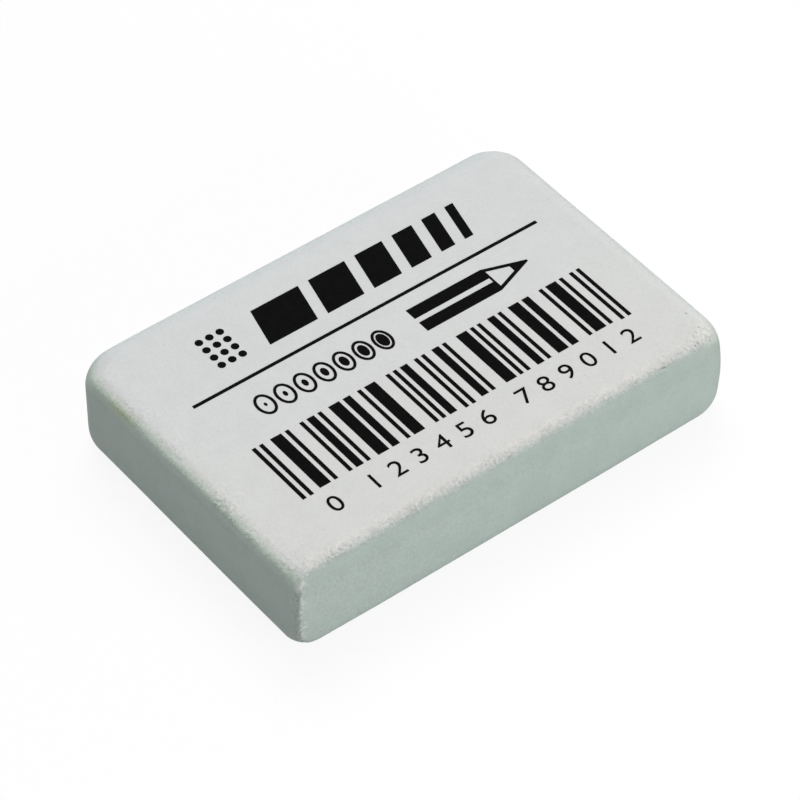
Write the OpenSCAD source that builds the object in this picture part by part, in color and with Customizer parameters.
// School eraser: one solid block of pale vulcanised rubber, cut from sheet and tumbled.
// Tumbling leaves the edges round the two large faces soft. Three of the upright corners are
// worn rounder than the edges that meet there, each by an amount of its own. The fourth, at
// the front left, kept its upright ridge, and only its lower tip is worn round.
//
// Millimetres. The block lies on its large face: +X runs along its length, +Y across its
// width and +Z up through its thickness. The origin is under the middle of the block.

/* [Block] */
// Length of the block, along X
block_l = 41; // [24:0.5:80]
// Width of the block, along Y
block_w = 28.5; // [20:0.1:50]
// Thickness of the block, along Z
block_h = 8; // [7:0.1:25]

/* [Soft edges] */
// Radius of the edge that runs round the top face
top_edge_r = 2.1; // [0.8:0.1:3]
// Radius of the edge that runs round the bottom face
bottom_edge_r = 2.2; // [0.8:0.1:3]

/* [Corner wear] */
// How much rounder than the edges the back right corner is, +X +Y
back_right_wear = 1.1; // [0.1:0.1:6]
// How much rounder than the edges the back left corner is, -X +Y
back_left_wear = 1.4; // [0.1:0.1:6]
// How much rounder than the edges the front right corner is, +X -Y
front_right_wear = 1.3; // [0.1:0.1:6]
// How much further than the edges the front left corner's lower tip is worn, -X -Y
front_left_wear = 0.5; // [0.1:0.1:6]
// How much is worn off the front left corner's upright ridge
ridge_wear = 0.2; // [0.05:0.05:0.35]

/* [Hidden] */
$fn = 96;

// The corners go round the block anticlockwise from +X +Y. Side i runs from corner i to
// the next one, so the sides are the back, the left, the front and the right.
corners = [0 : 3];
ridge = 2;
corner_side_x = [1, -1, -1, 1];
corner_side_y = [1, 1, -1, -1];
corner_wear = [back_right_wear, back_left_wear, front_left_wear, front_right_wear];

// Reach of corner i along both of its sides. Seen from above, it is the radius of a round
// corner, and the soft edges sweep round inside it.
function corner_r(i) = max(top_edge_r, bottom_edge_r) + corner_wear[i % 4];

// Length of side i, and how far its face stands from the middle of the block
function side_length(i) = i % 2 == 0 ? block_l : block_w;
function side_reach(i) = side_length(i + 1) / 2;

// A quarter of a disc, with its square corner at the origin
module quarter_disc(r) {
    intersection() {
        circle(r = r);
        square(r);
    }
}

// Section through the rim of the block, from x = 0 inside to x = depth at the outer face:
// flat below and above, upright outside, and a soft edge run in at each end of the upright
module rim_section(depth) {
    translate([0, bottom_edge_r])
        square([depth, block_h - bottom_edge_r - top_edge_r]);
    square([depth - bottom_edge_r, bottom_edge_r]);
    translate([depth - bottom_edge_r, bottom_edge_r])
        mirror([0, 1])
            quarter_disc(bottom_edge_r);
    translate([0, block_h - top_edge_r])
        square([depth - top_edge_r, top_edge_r]);
    translate([depth - top_edge_r, block_h - top_edge_r])
        quarter_disc(top_edge_r);
}

// The rim drawn straight along +Y, with its outer face at x = depth
module straight_rim(depth, length) {
    translate([0, length, 0])
        rotate([90, 0, 0])
            linear_extrude(height = length)
                rim_section(depth);
}

// A round corner is the rim turned a quarter round the corner's own upright centre line
module round_corner(reach) {
    rotate_extrude(angle = 90)
        rim_section(reach);
}

// The wear on a ridge corner leaves what lies inside an upright bar with a ball end. The bar
// takes ridge_wear off the ridge, and the ball rounds the tip. The ball touches the lower
// soft edges from inside where the corner ends, so that no step is left there.
module wear_bar(reach) {
    r = reach * sqrt(2) - ridge_wear;
    ball_z = bottom_edge_r + sqrt(pow(r - bottom_edge_r, 2) - pow(reach - bottom_edge_r, 2));
    rotate_extrude()
        translate([0, ball_z]) {
            square([r, block_h]);
            mirror([0, 1])
                quarter_disc(r);
        }
}

// A ridge corner is two straight rims that cross, less what has worn away
module ridge_corner(reach) {
    intersection() {
        straight_rim(reach, reach);
        mirror([1, -1, 0])
            straight_rim(reach, reach);
        wear_bar(reach);
    }
}

module corner(i) {
    reach = corner_r(i);
    translate([
        corner_side_x[i] * (block_l / 2 - reach),
        corner_side_y[i] * (block_w / 2 - reach),
        0
    ])
        rotate([0, 0, 90 * i])
            if (i == ridge)
                ridge_corner(reach);
            else
                round_corner(reach);
}

// A side is the rim drawn straight between its two corners, and deep enough to fill the
// block from its middle
module side(i) {
    from = corner_r(i) - side_length(i) / 2;
    to = side_length(i) / 2 - corner_r(i + 1);
    rotate([0, 0, 90 * (i + 1)])
        translate([0, from, 0])
            straight_rim(side_reach(i), to - from);
}

module eraser() {
    color([0.84, 0.86, 0.84])
        for (i = corners) {
            side(i);
            corner(i);
        }
}

eraser();
